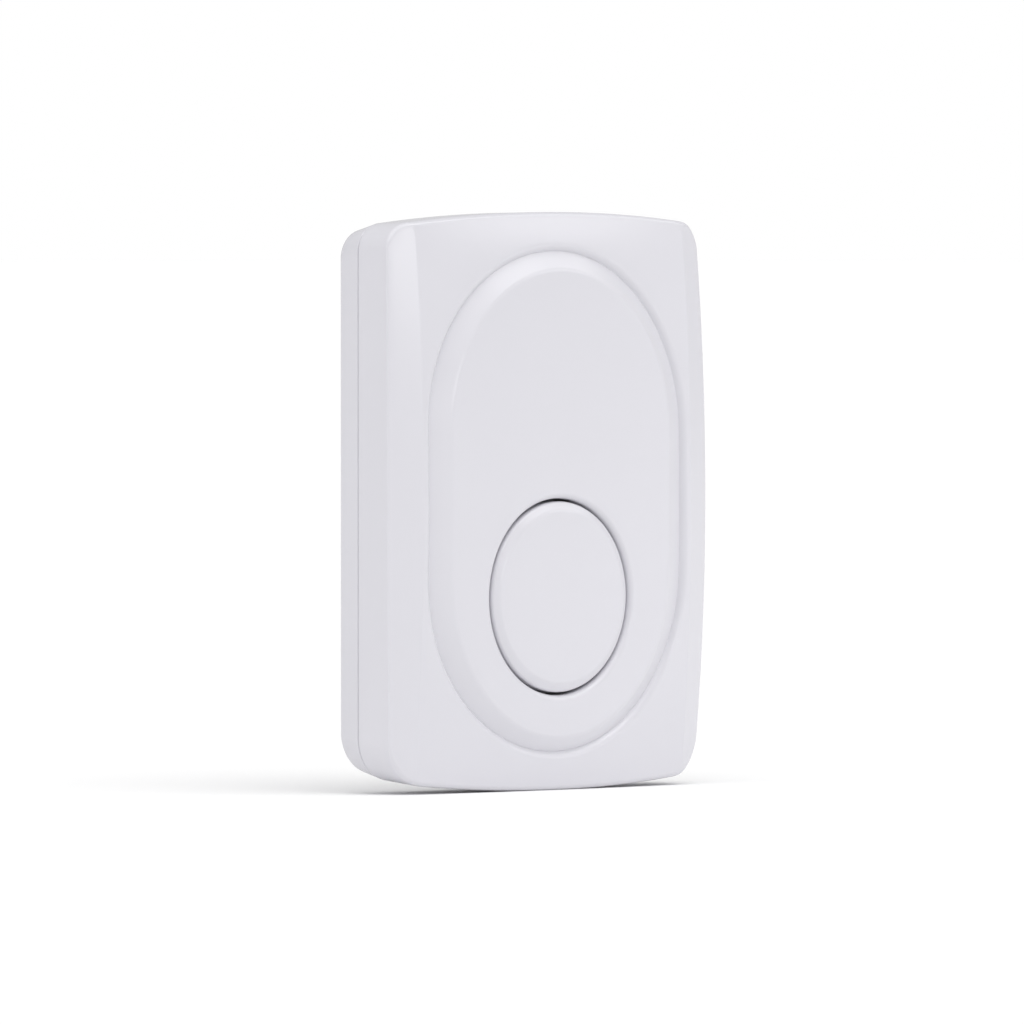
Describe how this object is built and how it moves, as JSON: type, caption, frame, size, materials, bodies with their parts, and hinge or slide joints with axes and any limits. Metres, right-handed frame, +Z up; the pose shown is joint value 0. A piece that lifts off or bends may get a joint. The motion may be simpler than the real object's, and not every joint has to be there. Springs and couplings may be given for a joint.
{
  "type": "kinetic doorbell push",
  "caption": "Upright wall bell push with a round spring-returned button in a raised oval panel, and a see-saw magnet generator and radio board inside a snap-together case.",
  "frame": {"origin": "middle of the flat rear face that lies against the wall", "axes": "+X to the right seen from the front, +Z up, the front looks along -Y"},
  "size_m": [0.0646, 0.0137, 0.083],
  "materials": {
    "case_plastic": "glossy moulded white",
    "button_plastic": "glossy moulded white",
    "seal_rubber": "moulded soft rubber",
    "spring_steel": "drawn spring steel",
    "frame_plastic": "moulded blue",
    "soft_iron": "stamped soft iron",
    "bobbin_plastic": "moulded natural",
    "copper_wire": "enamelled copper wire",
    "brass_pin": "drawn brass",
    "cradle_plastic": "moulded black",
    "magnet_nickel": "nickel plated",
    "pole_steel": "stamped and plated",
    "pin_steel": "ground",
    "board_laminate": "green solder mask",
    "chip_plastic": "moulded black",
    "capacitor_plastic": "moulded amber",
    "chip_ceramic": "fired ceramic",
    "lead_plastic": "red insulated wire",
    "screw_steel": "zinc plated"
  },
  "bodies": {
    "case": {"front_cover": "case_plastic", "rear_cover": "case_plastic", "case_gasket": "seal_rubber", "button_springs": "spring_steel", "generator_frame": "frame_plastic", "iron_core": "soft_iron", "coil_bobbin": "bobbin_plastic", "coil_winding": "copper_wire", "terminal_pins": "brass_pin", "circuit_board": "board_laminate", "radio_chip": "chip_plastic", "crystal": "magnet_nickel", "bridge_rectifier": "chip_plastic", "storage_capacitors": "capacitor_plastic", "chip_parts": "chip_ceramic", "antenna_coil": "copper_wire", "coil_leads": "lead_plastic", "generator_screws": "screw_steel", "board_screws": "screw_steel"},
    "button": {"push_button": "button_plastic", "button_seal": "seal_rubber"},
    "rocker": {"rocker_cradle": "cradle_plastic", "magnet": "magnet_nickel", "front_pole_plate": "pole_steel", "rear_pole_plate": "pole_steel", "rocker_pins": "pin_steel", "drive_spring": "spring_steel", "drive_rivets": "brass_pin"}
  },
  "joints": [
    {"name": "button_press", "type": "slide", "parent": "case", "child": "button", "axis": [0, 1, 0], "range_m": [0, 0.0024], "stiffness_N_per_m": 900, "springref_m": -0.0025, "deforming": ["button_springs"]},
    {"name": "rocker_flip", "type": "hinge", "parent": "case", "child": "rocker", "pos_m": [0, -0.0062, 0.0102], "axis": [1, 0, 0], "range_deg": [0, 5.76]}
  ],
  "couplings": [
    {"joint": "rocker_flip", "follows": "button_press", "rad_per_m": 41.841}
  ]
}
